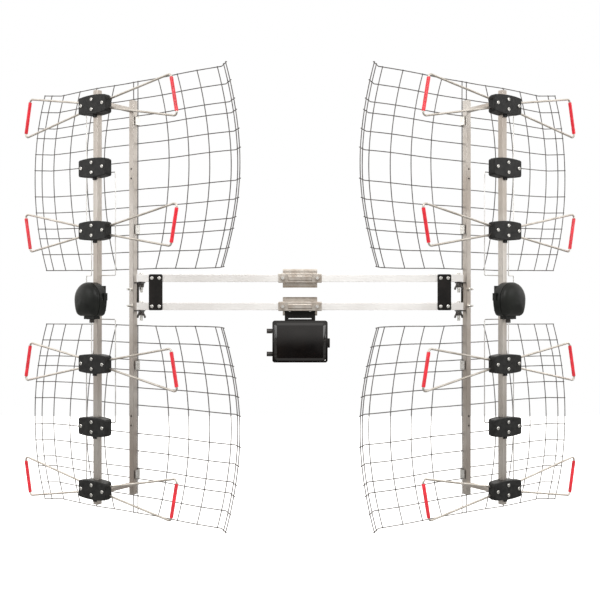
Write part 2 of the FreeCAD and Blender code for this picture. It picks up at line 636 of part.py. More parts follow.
def end_notches(z):
    """Four round notches in the block's ends, where whiskers or lines enter."""
    cuts = []
    for side in (-1, 1):
        for dz in (-NOTCH_Z, NOTCH_Z):
            cuts.append(rod(WHISKER_R + 0.2, V(side * (WHISKER_IN - 0.5), -WHISKER_D, z + dz),
                            V(side * (BLOCK_HALF + 1), -WHISKER_D, z + dz)))
    return Part.makeCompound(cuts)


def block_screw_places(z):
    """Where a block's four screws sit on its front face."""
    return [V(-BLOCK_SCREW_X, -BLOCK_FRONT, z), V(BLOCK_SCREW_X, -BLOCK_FRONT, z),
            V(0, -BLOCK_FRONT, z - BLOCK_SCREW_Z), V(0, -BLOCK_FRONT, z + BLOCK_SCREW_Z)]


def screw_drill(z, depth):
    """Drilled holes for a block's screws."""
    return Part.makeCompound([rod(1.5, p + V(0, -1, 0), p + V(0, depth, 0)) for p in block_screw_places(z)])


def insulator_back(z):
    """The rear half of a block: two cheeks beside the front tube, drilled for screws and feed wires."""
    back = block_slab(BACK_HALF, BLOCK_BACK, BLOCK_SEAM, z).cut(tube_channel(z, 0.05)).cut(end_notches(z))
    wires = [rod(LINE_R, V(x, -BLOCK_BACK + 1, side * height), V(x, -LINE_END, side * height))
             for x, height in line_ends() for side in (-1, 1)]
    return back.cut(screw_drill(z, 20.0)).cut(Part.makeCompound(wires)).Solids


def insulator_cover(z):
    """The front half of a block with its lug over the tube."""
    cover = block_slab(BLOCK_HALF, BLOCK_SEAM, BLOCK_FRONT, z)
    face = -BLOCK_FRONT
    cover = cover.makeFillet(1.6, [e for e in cover.Edges if e.BoundBox.YMax < face + 0.01])
    tube_face = -FRONT_D - TUBE / 2
    lug = box(-4.0, 4.0, tube_face - 3.0, tube_face - 0.05, z - 23.0, z - 12.0)
    cover = cover.fuse(lug).cut(tube_channel(z, 0.05)).cut(end_notches(z))
    return cover.cut(screw_drill(z, 20.0)).removeSplitter()


def block_screws(z):
    """Four bright pan head screws."""
    return [pan_screw(p, V(0, -1, 0), 3.4, 1.8, 1.5, 14.0) for p in block_screw_places(z)]


def whisker(z, side, up):
    """One bow-tie wire: out of the block, up the long or short corner, along the tip and back."""
    short = V(side * SHORT_CORNER[0], -WHISKER_D, z + up * SHORT_CORNER[1])
    long = V(side * LONG_CORNER[0], -WHISKER_D, z - up * LONG_CORNER[1])
    points = [V(side * WHISKER_IN, -WHISKER_D, z + up * NOTCH_Z),
              V(side * BLOCK_HALF, -WHISKER_D, z + up * NOTCH_Z), short, long,
              V(side * BLOCK_HALF, -WHISKER_D, z - up * NOTCH_Z),
              V(side * WHISKER_IN, -WHISKER_D, z - up * NOTCH_Z)]
    return round_wire(bent_path(points, WHISKER_BEND), WHISKER_R)


def sleeve(z, side, up):
    """The vinyl sleeve on a whisker's tip, over the straight run between its two bends."""
    short = V(side * SHORT_CORNER[0], -WHISKER_D, z + up * SHORT_CORNER[1])
    long = V(side * LONG_CORNER[0], -WHISKER_D, z - up * LONG_CORNER[1])
    along = (long - short).normalize()
    start, end = short + along * SLEEVE_SHORT, long - along * SLEEVE_LONG
    return rod(SLEEVE_R, start, end).cut(rod(WHISKER_R, start - along, end + along))


def line_ends():
    """Where the upper half's feed wires enter the blocks from behind: x and height."""
    first, blank, third = BLOCK_Z
    root = BACK_HALF - 3.5
    return [(-root, first - NOTCH_Z), (-root, third + NOTCH_Z),
            (root, blank - NOTCH_Z), (-LINE_LEAD_X, third - NOTCH_Z)]


def phase_lines():
    """The upper half's feed wires: a jumper past the blank block, and a lead from each side to the balun."""
    def at(x, z):
        return V(x, -LINE_D, z)

    def into_block(end):
        return [V(end[0], -LINE_END, end[1]), at(*end)]
    top, bottom, inner_end, outer_end = line_ends()
    jumper = into_block(top) + [at(-LINE_X, top[1]), at(-LINE_X, bottom[1])] + into_block(bottom)[::-1]
    inner = into_block(inner_end) + [at(LINE_X, inner_end[1]), at(LINE_X, LINE_CROSS_Z),
                                     at(0, LINE_CROSS_Z), at(0, SADDLE_TOP - 4.0)]
    outer = into_block(outer_end) + [at(-LINE_LEAD_X, LINE_CROSS_Z), at(-LINE_X, LINE_CROSS_Z),
                                     at(-LINE_X, LINE_IN_Z), at(-SADDLE_HALF + 4.0, LINE_IN_Z)]
    return [round_wire(bent_path(points, 2.5), LINE_R) for points in (jumper, inner, outer)]


# ---------------------------------------------------------------- balun
def turn_arc(centre, radius, start, end):
    """An arc in the x-z plane about a centre between two angles, in degrees from +x."""
    def point(angle):
        turn = math.radians(angle)
        return centre + V(radius * math.cos(turn), 0, radius * math.sin(turn))
    return Part.Arc(point(start), point((start + end) / 2), point(end)).toShape()


def balun_slab(inset, d0, d1):
    """The balun's outline between two depths: a round top, sides that taper gently, a flat base."""
    half, side, corner = BALUN_HALF - inset, BALUN_SIDE_R - inset, BALUN_CORNER_R - inset
    middle = BALUN_TOP - BALUN_HALF
    base = BALUN_BOTTOM + inset
    side_centre = V(BALUN_HALF - BALUN_SIDE_R, 0, middle)
    drop = base + corner - middle
    reach = math.sqrt((side - corner) ** 2 - drop ** 2)
    corner_centre = side_centre + V(reach, 0, drop)
    lean = math.degrees(math.atan2(drop, reach))
    right = [turn_arc(side_centre, side, 0, lean), turn_arc(corner_centre, corner, lean, -90)]
    left = [edge.mirror(O, X) for edge in right]
    top = turn_arc(V(0, 0, middle), half, 0, 180)
    foot = corner_centre - V(0, 0, corner)
    flat = Part.LineSegment(foot, V(-foot.x, 0, foot.z)).toShape()
    outline = Part.Wire(Part.__sortEdges__([top] + right + left + [flat]))
    slab = Part.Face(outline).extrude(V(0, d0 - d1, 0))
    slab.translate(V(0, -d0, 0))
    return slab


def balun_back():
    """The balun's rear shell: a saddle round the front tube, the board's bay and the connector's chin."""
    shell = balun_slab(0, BALUN_BACK, BALUN_SEAM)
    cavity = balun_slab(BALUN_WALL, BALUN_BACK + BALUN_WALL, BALUN_SEAM + 1)
    saddle = box(-SADDLE_HALF, SADDLE_HALF, -BALUN_BACK - 1, -SADDLE_BACK, -SADDLE_TOP - 4, SADDLE_TOP)
    saddle = rounded(saddle, 3.0, runs_along(Z))
    chin = box(-15, 15, -BALUN_SEAM + 1, -BALUN_BACK, BALUN_BOTTOM - 6, BALUN_BOTTOM + 3)
    chin = rounded(chin, 2.0, runs_along(Z))
    lug = box(BALUN_HALF - 6, BALUN_HALF + 2.5, -BALUN_BACK - 9, -BALUN_BACK, -6.0, 8.0)
    shell = shell.multiFuse([saddle, chin, rounded(lug, 1.5, runs_along(Z))])
    half = TUBE / 2 + 0.05
    channel = box(-half, half, -FRONT_D - half, -FRONT_D + half, -60, 60)
    shell = shell.cut(cavity).cut(channel)
    shell = shell.cut(rod(PORT_ROOT_R, V(0, -PORT_D, BALUN_BOTTOM - 10), V(0, -PORT_D, BALUN_BOTTOM + 6)))
    for x, z in balun_screw_places():
        shell = shell.fuse(rod(3.5, V(x, -BALUN_SEAM, z), V(x, -BALUN_BACK - 1, z)))
        shell = shell.cut(rod(1.4, V(x, -BALUN_SEAM - 1, z), V(x, -BALUN_BACK + 1, z)))
    for sign in (-1, 1):
        start = V(0, -LINE_D, sign * (SADDLE_TOP - 4.5))
        shell = shell.cut(rod(LINE_R, start, start + V(0, 0, sign * 12)))
        start = V(-SADDLE_HALF + 4.5, -LINE_D, sign * LINE_IN_Z)
        shell = shell.cut(rod(LINE_R, start, start - V(9, 0, 0)))
    return shell.removeSplitter()


def balun_screw_places():
    """Two screws hold the balun's shells together."""
    return [(-22.0, -4.0), (22.0, -4.0)]


def balun_cover():
    """The balun's domed front shell."""
    dome = balun_slab(0, BALUN_SEAM, BALUN_NOSE)
    dome = dome.makeFillet(9.0, [e for e in dome.Edges if e.BoundBox.YMax < -BALUN_NOSE + 0.01])
    dome = dome.cut(balun_slab(8.0, BALUN_SEAM - 1, BALUN_NOSE - 3.0))
    lip = balun_slab(BALUN_WALL + 0.1, BALUN_SEAM - 3, BALUN_SEAM + 1).cut(
        balun_slab(BALUN_WALL + 1.6, BALUN_SEAM - 4, BALUN_SEAM + 2))
    for x, z in balun_screw_places():
        lip = lip.cut(rod(3.7, V(x, -BALUN_SEAM - 2, z), V(x, -BALUN_SEAM + 4, z)))
        dome = dome.fuse(rod(3.0, V(x, -BALUN_SEAM, z), V(x, -BALUN_NOSE + 4, z)))
    dome = dome.fuse(lip)
    for x, z in balun_screw_places():
        dome = dome.cut(rod(1.4, V(x, -BALUN_SEAM + 1, z), V(x, -BALUN_SEAM - 9, z)))
    return dome.removeSplitter()


def balun_board():
    """The matching board: a small card with a two-hole ferrite core."""
    d = BALUN_SEAM - 4.0
    card = box(-15, 15, -d - 1.6, -d, -22, 18)
    core = box(-7, 7, -d, -d + 5, -8, 6)
    for x in (-3.2, 3.2):
        core = core.cut(rod(1.4, V(x, -d + 2.5, -10), V(x, -d + 2.5, 8)))
    return card.fuse(core).removeSplitter()


def balun_screws():
    """The screws from behind that close the balun."""
    return [pan_screw(V(x, -BALUN_BACK, z), Y, 2.6, 1.8, 1.4, BALUN_SEAM - BALUN_BACK + 7.0)
            for x, z in balun_screw_places()]


# ---------------------------------------------------------------- every node
save("upper_arm_bar", [arm_bar(BAR_Z)])
save("lower_arm_bar", [arm_bar(-BAR_Z)])
save("left_tie_plate", [tie_plate(-1)])
save("right_tie_plate", [tie_plate(1)])
save("tie_plate_screws", [pan_screw(p, V(0, -1, 0), 3.6, 2.4, 1.8, TIE_PLATE + 6.0)
                          for side in (-1, 1) for p in tie_screw_places(side)])
save("hinge_bolts", [hinge_bolt(side, z) for side in (-1, 1) for z in (-BAR_Z, BAR_Z)])
for side, side_name in ((-1, "left"), (1, "right")):
    for z, level in ((BAR_Z, "upper"), (-BAR_Z, "lower")):
        turn = 85 if (side, level) == (-1, "upper") else 12 * side
        save("%s_%s_wing_nut" % (side_name, level), [wing_nut(side, z + WING_NUT_TOP - BAR_Z, turn)])
for z, level in ((BAR_Z, "upper"), (-BAR_Z, "lower")):
    save(level + "_u_bolt", [u_bolt(z)])
    save(level + "_clamp_channel", [clamp_channel(z)])
    save(level + "_v_jaw", [v_jaw(z)])
save("u_bolt_nuts", leg_nuts())

save("combiner_bracket", [combiner_bracket()])
save("combiner_base", [combiner_base()])
save("combiner_cover", [combiner_cover()])
save("combiner_gasket", [combiner_gasket()])
save("combiner_board", [combiner_board()])
save("combiner_ports", combiner_ports())
save("combiner_screws", combiner_fasteners())

save_on_panels("rear_tube", [rear_tube()])
save_on_panels("front_tube", [front_tube()])
save_on_panels("standoff_arms", both_halves([standoff_arm()]))
save_on_panels("hinge_bracket", [hinge_bracket()])
screen = upper_screen()
save_on_panels("upper_screen", [screen])
save_on_panels("lower_screen", [half_turn(screen)])
save_on_panels("screen_clips", both_halves(screen_clips()))
panel_screws = both_halves(standoff_screws() + clip_screws())
save_on_panels("panel_fasteners", bracket_bolts() + panel_screws + balun_screws())

blocks = [side * z for side in (-1, 1) for z in BLOCK_Z]
save_on_panels("insulator_backs", [s for z in blocks for s in insulator_back(z)])
save_on_panels("insulator_covers", [insulator_cover(z) for z in blocks])
save_on_panels("insulator_screws", [s for z in blocks for s in block_screws(z)])
bays = [(BLOCK_Z[0], 1), (BLOCK_Z[2], -1), (-BLOCK_Z[2], 1), (-BLOCK_Z[0], -1)]
save_on_panels("whiskers", [whisker(z, side, up) for z, up in bays for side in (-1, 1)])
save_on_panels("tip_sleeves", [sleeve(z, side, up) for z, up in bays for side in (-1, 1)])
save_on_panels("phase_lines", both_halves(phase_lines()))

save_on_panels("balun_back", [balun_back()])
save_on_panels("balun_cover", [balun_cover()])
save_on_panels("balun_board", [balun_board()])
save_on_panels("balun_port", [coax_port(V(0, -PORT_D, BALUN_BOTTOM - 6), V(0, 0, -1), PORT_LENGTH)])
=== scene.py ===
import json
import math

import bmesh
import bpy
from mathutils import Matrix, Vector


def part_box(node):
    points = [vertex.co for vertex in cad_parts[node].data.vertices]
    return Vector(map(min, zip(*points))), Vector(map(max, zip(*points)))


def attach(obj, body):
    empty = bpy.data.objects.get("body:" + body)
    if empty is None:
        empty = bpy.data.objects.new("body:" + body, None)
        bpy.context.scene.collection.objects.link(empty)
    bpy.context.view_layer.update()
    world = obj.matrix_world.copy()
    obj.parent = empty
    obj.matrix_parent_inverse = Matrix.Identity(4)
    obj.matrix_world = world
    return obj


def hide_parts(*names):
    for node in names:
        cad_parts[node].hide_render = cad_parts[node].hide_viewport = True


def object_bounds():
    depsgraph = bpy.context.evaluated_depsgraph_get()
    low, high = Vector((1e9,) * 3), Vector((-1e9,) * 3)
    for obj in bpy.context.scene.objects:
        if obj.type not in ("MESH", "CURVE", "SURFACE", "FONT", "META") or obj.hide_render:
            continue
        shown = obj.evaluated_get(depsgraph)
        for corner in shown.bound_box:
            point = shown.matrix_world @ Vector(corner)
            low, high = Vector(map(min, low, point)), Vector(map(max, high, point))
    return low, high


# The looks of an eight-bay bow-tie antenna. Lengths named below are in millimetres, as in the CAD;
# everything that reaches Blender is in metres. A panel's own frame has u running inward from the rear
# tube, d forward from the rear tube to the front tube, and z up from the panel's mid-height.

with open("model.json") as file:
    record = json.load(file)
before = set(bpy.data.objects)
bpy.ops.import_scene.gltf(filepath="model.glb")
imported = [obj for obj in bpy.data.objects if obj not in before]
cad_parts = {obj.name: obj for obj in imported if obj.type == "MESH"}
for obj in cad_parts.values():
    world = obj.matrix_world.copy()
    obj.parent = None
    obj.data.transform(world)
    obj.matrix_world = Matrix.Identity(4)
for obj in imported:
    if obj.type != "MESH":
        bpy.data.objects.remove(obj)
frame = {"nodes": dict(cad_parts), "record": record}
cad_low, cad_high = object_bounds()

MM = 0.001
UP = Vector((0, 0, 1))

# ---- driving dimensions, the same as the CAD's
TUBE = 12.0
WIRE_R = 1.0               # screen wire
ROW_GAPS = (34.5, 34.5, 21, 35, 35, 57, 35, 35, 21, 34.5, 34.5)     # from the outer edge inward
SCREEN_TOP = 433.5
COLUMN_PITCH = 50.8
CENTRE_PAIR = 6.0          # half spacing of the two straight wires behind the tube
BOW, FLARE = 33.5, 3.0     # how far the outer columns bulge, and how much they lean outward
KINK, KINK_R, FLANGE_ANGLE = 218.5, 5.0, 37.0
FLANGE_COLUMNS = (20.0, 35.0)
WELD = 0.45                # how deep crossing wires sink into each other
CLEARANCE = 0.05           # between the rear tube and the screens
CROSSING = 2 * WIRE_R - WELD     # between the centres of two crossing wires
COLUMN_D = -(TUBE / 2 + WIRE_R + CLEARANCE)
ROW_D = COLUMN_D - CROSSING
BLOCK_Z = (367.0, 247.0, 127.0)
BLOCK_HALF, BACK_HALF, NOTCH_Z = 36.5, 31.0, 8.8
WHISKER_R, WHISKER_D, WHISKER_BEND, WHISKER_IN = 2.0, 99.0, 6.0, 17.0
SHORT_CORNER, LONG_CORNER = (190.0, 35.0), (206.0, 43.0)
SLEEVE_R, SLEEVE_SHORT, SLEEVE_LONG = 3.5, 6.2, 9.4
LINE_R, LINE_X, LINE_D = 1.0, 39.5, 87.6
LINE_LEAD_X, LINE_CROSS_Z, LINE_IN_Z, LINE_END = 25.5, 42.0, 14.0, 95.0
LINE_BEND = 2.5
LINE_ROOT = BACK_HALF - 3.5      # where a feed wire enters a block, from its middle
LINE_SUNK = 4.0                  # how far a lead runs into the balun's saddle
SADDLE_HALF, SADDLE_TOP = 12.0, 22.0
BALUN_HALF, BALUN_TOP, BALUN_BOTTOM = 32.5, 28.5, -35.5
BALUN_SIDE_R, BALUN_CORNER_R = 70.0, 11.0
BALUN_SEAM, BALUN_NOSE = 119.0, 135.0

# ---- the visual model's own small details
CORD_STEP = 14.0           # spacing of points on a screen's rows
COLUMN_STEPS = 36          # stretches along a screen's column
NUGGET_ACROSS, NUGGET_AHEAD = 1.35, 0.9     # half sizes of a weld's bead, along the screen and through it
RIPPLE_ALONG, RIPPLE_AHEAD = 0.9, 1.3       # height of the waves, along the screen and through it
RIPPLE_FROM = 90.0         # the waves have their full height this far from the tube
SWELL = 0.12               # a sleeve's skin swells or shrinks by up to this much

# levels of the balun's front shell through its shadow groove: scale of the outline, height over the seam
GROOVE = ((1.0, 0.0), (1.0, 0.7), (0.955, 1.0), (0.955, 2.0), (1.0, 2.3), (0.99, 2.6))
CROWN_SCALE, CROWN_POWER, CROWN_STEPS = 0.985, 0.86, 26

# edges of the CAD's nodes: shaded smooth under one angle, softened over the other, by the node's width
SMOOTH_UNDER, SOFT_OVER = 30, 35
SOFTENED = {"combiner_cover": 0.9, "combiner_base": 0.6, "combiner_bracket": 0.35,
            "left_tie_plate": 0.35, "right_tie_plate": 0.35,
            "upper_v_jaw": 0.35, "lower_v_jaw": 0.35}

# ---- studio, in metres: the camera's place comes from the fitted viewpoint
CAMERA_PLACE = Vector((0.0, -1.834, -0.010))
LENS, SENSOR, SHIFT_Y = 54.0, 36.0, -0.0045
FLOOR_DROP, FLOOR_HALF = 0.6, 6.0

# what surfaces see in the two halves of the room: height from straight down to straight up, light
ROOM_BEHIND_CAMERA = ((0.0, 0.55), (0.40, 0.40), (0.455, 0.06), (0.475, 0.05), (0.478, 1.05),
                      (0.510, 0.95), (0.56, 0.62), (1.0, 1.30))
ROOM_BEHIND_PART = ((0.0, 0.55), (0.40, 0.40), (0.482, 0.60), (0.60, 1.50), (1.0, 1.55))
ROOMS_MEET = (-0.14, 0.0)      # the halves blend where a direction's y lies between these

# name, place, width, height, watts
SOFTBOXES = (
    ("key_light", (0.0, -2.6, 1.7), 1.1, 1.1, 26.0),
    ("left_light", (-2.4, -1.6, 1.0), 1.0, 1.0, 10.0),
    ("right_light", (2.4, -1.6, 1.0), 1.0, 1.0, 10.0),
    ("left_strip", (-2.2, 0.0, 0.21), 0.22, 0.8, 1.6),
    ("right_strip", (2.2, 0.0, 0.21), 0.22, 0.8, 1.6),
)


# ---------------------------------------------------------------- materials
class Finish:
    """A procedural material on one Principled shader, fed by noise in the object's own space."""

    def __init__(self, name, metallic=0.0, roughness=0.5, **sockets):
        self.material = bpy.data.materials.new(name)
        self.material.use_nodes = True
        self.tree = self.material.node_tree
        self.shader = self.tree.nodes["Principled BSDF"]
        self.shader.inputs["Metallic"].default_value = metallic
        self.shader.inputs["Roughness"].default_value = roughness
        for socket, value in sockets.items():
            self.shader.inputs[socket.replace("_", " ")].default_value = value
        self.place = self.tree.nodes.new("ShaderNodeTexCoord").outputs["Object"]

    def node(self, kind, **sockets):
        """A new node with some of its inputs set, an underscore in a name standing for a space."""
        made = self.tree.nodes.new(kind)
        for socket, value in sockets.items():
            made.inputs[socket.replace("_", " ")].default_value = value
        return made

    def stretched(self, scale):
        mapping = self.node("ShaderNodeMapping", Scale=scale)
        self.tree.links.new(self.place, mapping.inputs["Vector"])
        return mapping.outputs["Vector"]

    def noise(self, scale, detail=3.0, stretch=(1, 1, 1)):
        """Fractal noise, its scale in features per metre."""
        made = self.node("ShaderNodeTexNoise", Scale=scale, Detail=detail)
        self.tree.links.new(self.stretched(stretch), made.inputs["Vector"])
        return made.outputs["Fac"]

    def colour(self, factor, dark, light, low=0.35, high=0.65):
        """Spreads the base colour between two tones."""
        ramp = self.node("ShaderNodeValToRGB")
        ramp.color_ramp.elements[0].position = low
        ramp.color_ramp.elements[0].color = (*dark, 1)
        ramp.color_ramp.elements[1].position = high
        ramp.color_ramp.elements[1].color = (*light, 1)
        self.tree.links.new(factor, ramp.inputs["Fac"])
        self.tree.links.new(ramp.outputs["Color"], self.shader.inputs["Base Color"])

    def gloss(self, factor, low, high):
        """Spreads the roughness between two values."""
        spread = self.node("ShaderNodeMapRange", From_Min=0.3, From_Max=0.7, To_Min=low, To_Max=high)
        self.tree.links.new(factor, spread.inputs["Value"])
        self.tree.links.new(spread.outputs["Result"], self.shader.inputs["Roughness"])
        return self

    def relief(self, factor, strength, distance_mm):
        """A fine bump on top of the modelled shape."""
        bump = self.node("ShaderNodeBump", Strength=strength, Distance=distance_mm * MM)
        self.tree.links.new(factor, bump.inputs["Height"])
        self.tree.links.new(bump.outputs["Normal"], self.shader.inputs["Normal"])
        return self


def drawn_aluminium(name, stretch, dull, clean, metallic):
    """Extruded aluminium: fine draw lines along its length under broad patches of dull oxide."""
    made = Finish(name, metallic=metallic)
    lines = made.noise(1.0, 4.0, stretch)
    made.colour(made.noise(7.0, 5.0), dull, clean, 0.38, 0.62)
    return made.gloss(lines, 0.32, 0.46).relief(lines, 0.02, 0.02).material


def wire_aluminium(name, dull, clean):
    made = Finish(name, metallic=1.0)
    made.colour(made.noise(45.0), dull, clean)
    return made.gloss(made.noise(300.0), 0.30, 0.46).relief(made.noise(900.0), 0.2, 0.03).material


def coated_wire():
    made = Finish("coated_wire")
    made.colour(made.noise(60.0), (0.050, 0.046, 0.044), (0.115, 0.106, 0.102))
    return made.gloss(made.noise(260.0), 0.34, 0.55).relief(made.noise(700.0), 0.25, 0.05).material


def textured_plastic():
    made = Finish("textured_black_plastic", Specular_IOR_Level=0.3)
    made.colour(made.noise(120.0), (0.003, 0.003, 0.003), (0.010, 0.010, 0.0095))
    return made.gloss(made.noise(420.0), 0.38, 0.58).relief(made.noise(1500.0, 2.0), 0.45, 0.12).material


def satin_plastic():
    made = Finish("satin_black_plastic", Specular_IOR_Level=0.25)
    made.colour(made.noise(30.0), (0.003, 0.0035, 0.003), (0.007, 0.008, 0.0065))
    return made.gloss(made.noise(60.0), 0.34, 0.42).relief(made.noise(1800.0, 2.0), 0.12, 0.05).material


def gloss_plastic():
    made = Finish("gloss_black_plastic", Specular_IOR_Level=0.55)
    made.colour(made.noise(18.0), (0.0015, 0.001, 0.001), (0.004, 0.0025, 0.002))
    return made.gloss(made.noise(25.0), 0.03, 0.08).relief(made.noise(14.0, 1.0), 0.02, 0.10).material


def red_vinyl():
    made = Finish("red_vinyl", Coat_Weight=0.25, Coat_Roughness=0.12)
    made.colour(made.noise(90.0), (0.46, 0.002, 0.012), (0.62, 0.006, 0.022))
    return made.gloss(made.noise(150.0), 0.26, 0.40).relief(made.noise(260.0), 0.2, 0.08).material


def powder_coat():
    made = Finish("black_powder_coat", Specular_IOR_Level=0.25)
    made.colour(made.noise(50.0), (0.003, 0.0025, 0.002), (0.009, 0.007, 0.006))
    return made.gloss(made.noise(200.0), 0.36, 0.50).relief(made.noise(650.0, 2.0), 0.35, 0.10).material


def zinc_steel():
    """Zinc plated pressed steel with the faint brown cast of passivation."""
    made = Finish("zinc_plated_steel", metallic=1.0)
    made.colour(made.noise(70.0, 5.0), (0.50, 0.435, 0.375), (0.68, 0.635, 0.58))
    return made.gloss(made.noise(90.0), 0.32, 0.42).relief(made.noise(60.0), 0.04, 0.05).material


def bright_zinc(name, dull, clean):
    made = Finish(name, metallic=1.0)
    made.colour(made.noise(220.0), dull, clean)
    return made.gloss(made.noise(500.0), 0.16, 0.32).relief(made.noise(900.0), 0.15, 0.03).material


def dark_connector():
    made = Finish("dark_connector", metallic=0.6)
    made.colour(made.noise(300.0), (0.02, 0.018, 0.016), (0.07, 0.065, 0.06))
    return made.gloss(made.noise(500.0), 0.30, 0.45).relief(made.noise(900.0), 0.2, 0.04).material


def solder_mask():
    made = Finish("green_solder_mask", Coat_Weight=0.4, Coat_Roughness=0.2)
    made.colour(made.noise(400.0), (0.01, 0.10, 0.035), (0.02, 0.20, 0.07))
    return made.gloss(made.noise(300.0), 0.30, 0.45).relief(made.noise(800.0), 0.2, 0.05).material


def soft_rubber():
    made = Finish("gasket_rubber")
    made.colour(made.noise(150.0), (0.012, 0.012, 0.012), (0.03, 0.03, 0.03))
    return made.gloss(made.noise(300.0), 0.70, 0.85).relief(made.noise(900.0), 0.3, 0.08).material


ALONG_X, ALONG_Z = (4.0, 1100.0, 1100.0), (1100.0, 1100.0, 4.0)
finishes = {
    "aluminium_tube": drawn_aluminium("aluminium_drawn_upright", ALONG_Z, (0.46, 0.41, 0.365),
                                      (0.62, 0.585, 0.545), 1.0),
    "aluminium_wire": wire_aluminium("drawn_wire", (0.50, 0.46, 0.41), (0.67, 0.63, 0.575)),
    "coated_wire": coated_wire(),
    "black_insulator": textured_plastic(),
    "balun_shell": satin_plastic(),
    "combiner_shell": gloss_plastic(),
    "red_vinyl": red_vinyl(),
    "black_steel": powder_coat(),
    "clamp_steel": zinc_steel(),
    "bright_hardware": bright_zinc("bright_zinc", (0.66, 0.65, 0.62), (0.90, 0.89, 0.86)),
    "connector": dark_connector(),
    "circuit_board": solder_mask(),
    "gasket_rubber": soft_rubber(),
}
bar_finish = drawn_aluminium("aluminium_drawn_level", ALONG_X, (0.72, 0.70, 0.68),
                             (0.86, 0.85, 0.835), 0.55)
cast_finish = bright_zinc("cast_zinc", (0.09, 0.085, 0.08), (0.26, 0.25, 0.24))
feed_finish = wire_aluminium("bright_feed_wire", (0.74, 0.73, 0.71), (0.90, 0.89, 0.87))


# ---------------------------------------------------------------- the CAD's own nodes
def finish_of(node, slot):
    """The material of a CAD node: its slot's, except for the bars and the wing nuts."""
    if node.endswith("_arm_bar"):
        return bar_finish
    if node.endswith("_wing_nut"):
        return cast_finish
    return finishes[slot]


def dress_cad_nodes():
    """Materials, smooth shading and, on the sharpest plates and shells, softened edges."""
    for row in frame["record"]["subparts"]:
        mesh = frame["nodes"][row["node"]].data
        mesh.materials.clear()
        mesh.shade_smooth()
        mesh.set_sharp_from_angle(angle=math.radians(SMOOTH_UNDER))
        mesh.materials.append(finish_of(row["node"], row["material_slot"]))
    for name, width in SOFTENED.items():
        bevel = frame["nodes"][name].modifiers.new("edge", "BEVEL")
        bevel.width = width * MM
        bevel.segments = 3
        bevel.limit_method = "ANGLE"
        bevel.angle_limit = math.radians(SOFT_OVER)


# ---------------------------------------------------------------- mesh helpers
def middle(node):
    """The middle of a CAD node's box."""
    low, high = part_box(node)
    return (low + high) / 2


def panel_space(side):
    """A function that turns a point (u, d, z) of a panel, in millimetres, into the row frame."""
    rear, front = middle(side + "_rear_tube"), middle(side + "_front_tube")
    forward = (front - rear).normalized()
    hand = 1 if side == "left" else -1
    inward = Vector((-forward.y, forward.x, 0)) * hand

    def place(u, d, z):
        return rear + (inward * u + forward * d + UP * z) * MM
    return place


def bend(points, radius, steps=6):
    """Rounds every corner of a run of points with a tangent arc."""
    line = [points[0]]
    for before, corner, after in zip(points, points[1:], points[2:]):
        arm_in, arm_out = (before - corner).normalized(), (after - corner).normalized()
        half = arm_in.angle(arm_out) / 2
        centre = corner + (arm_in + arm_out).normalized() * (radius / math.sin(half))
        start = corner + arm_in * (radius / math.tan(half)) - centre
        finish = corner + arm_out * (radius / math.tan(half)) - centre
        sweep = start.angle(finish)
        for i in range(steps + 1):
            t = i / steps
            line.append(centre + (start * math.sin((1 - t) * sweep) + finish * math.sin(t * sweep))
                        / math.sin(sweep))
    return line + [points[-1]]


def densify(line, step):
    """Adds points on long runs, no further apart than step."""
    full = [line[0]]
    for a, b in zip(line, line[1:]):
        parts = max(1, math.ceil((b - a).length / step))
        full += [a.lerp(b, i / parts) for i in range(1, parts + 1)]
    return full


class Shape:
    """Gathers swept wires and other closed forms into one mesh piece."""

    def __init__(self):
        self.points, self.faces = [], []

    def rings(self, rings):
        """Joins rings of equal count into a skin with closed ends."""
        base, count = len(self.points), len(rings[0])
        for ring in rings:
            self.points += ring
        for r in range(len(rings) - 1):
            for i in range(count):
                j = (i + 1) % count
                a, b = base + r * count, base + (r + 1) * count
                self.faces.append((a + i, a + j, b + j, b + i))
        self.faces.append(tuple(base + i for i in reversed(range(count))))
        last = base + (len(rings) - 1) * count
        self.faces.append(tuple(last + i for i in range(count)))

    def tube(self, line, radii, sides):
        """A round form along points in metres, with a radius at each."""
        across = (line[1] - line[0]).orthogonal().normalized()
        rings = []
        for i, point in enumerate(line):
            ahead, behind = line[min(i + 1, len(line) - 1)], line[max(i - 1, 0)]
            along = (ahead - behind).normalized()
            across = (across - along * across.dot(along)).normalized()
            other = along.cross(across)
            rings.append([point + (across * math.cos(a) + other * math.sin(a)) * radii[i]
                          for a in (2 * math.pi * s / sides for s in range(sides))])
        self.rings(rings)

    def wire(self, line, radius, sides=10):
        """A round wire along points in metres, its ends slightly rounded."""
        tip = radius * 0.35
        first, last = (line[1] - line[0]).normalized(), (line[-2] - line[-1]).normalized()
        line = [line[0], line[0] + first * tip] + line[1:-1] + [line[-1] + last * tip, line[-1]]
        self.tube(line, [radius * 0.6] + [radius] * (len(line) - 2) + [radius * 0.6], sides)

    def blob(self, centre, axes):
        """A small closed ellipsoid, given by its three half axes."""
        rings = []
        for k in range(1, 5):
            tilt = math.pi * k / 5
            level = centre + axes[2] * math.cos(tilt)
            rings.append([level + (axes[0] * math.cos(a) + axes[1] * math.sin(a)) * math.sin(tilt)
                          for a in (2 * math.pi * s / 8 for s in range(8))])
        self.rings(rings)

    def piece(self, name, body, slot, replaced, sharp=40):
        """Makes the visible piece that stands in for one CAD node."""
        mesh = bpy.data.meshes.new(name)
        mesh.from_pydata([tuple(p) for p in self.points], [], self.faces)
        work = bmesh.new()
        work.from_mesh(mesh)
        bmesh.ops.recalc_face_normals(work, faces=work.faces)
        work.to_mesh(mesh)
        work.free()
        mesh.shade_smooth()
        mesh.set_sharp_from_angle(angle=math.radians(sharp))
        mesh.materials.append(finishes[slot])
        made = bpy.data.objects.new(name, mesh)
        bpy.context.scene.collection.objects.link(made)
        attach(made, body)
        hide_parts(replaced)
        return made


